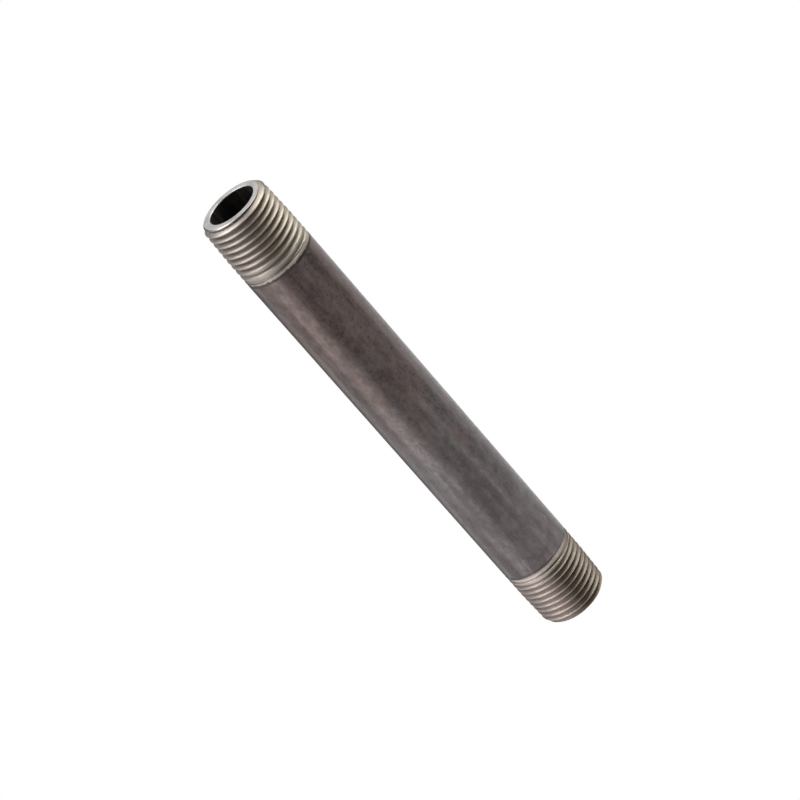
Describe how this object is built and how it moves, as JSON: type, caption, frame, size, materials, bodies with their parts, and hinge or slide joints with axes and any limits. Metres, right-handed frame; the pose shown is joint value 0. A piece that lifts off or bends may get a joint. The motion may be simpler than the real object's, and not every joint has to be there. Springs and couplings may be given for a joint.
{
  "type": "threaded pipe nipple",
  "caption": "Short straight length of black steel pipe with a right-hand tapered pipe thread cut on each end, for joining two internally threaded fittings.",
  "frame": {"origin": "centre of the lower end face, on the bore's axis", "axes": "+Z along the bore, from the lower end face to the upper one; X and Y square to it, and the part is round about Z apart from the threads' helices"},
  "size_m": [0.0102, 0.0102, 0.0762],
  "materials": {
    "black_steel": "dark mill scale on the barrel and in the bore, bare cut steel on the threads, the chamfers and the end faces"
  },
  "bodies": {
    "root": {"pipe_nipple": "black_steel"}
  },
  "joints": []
}
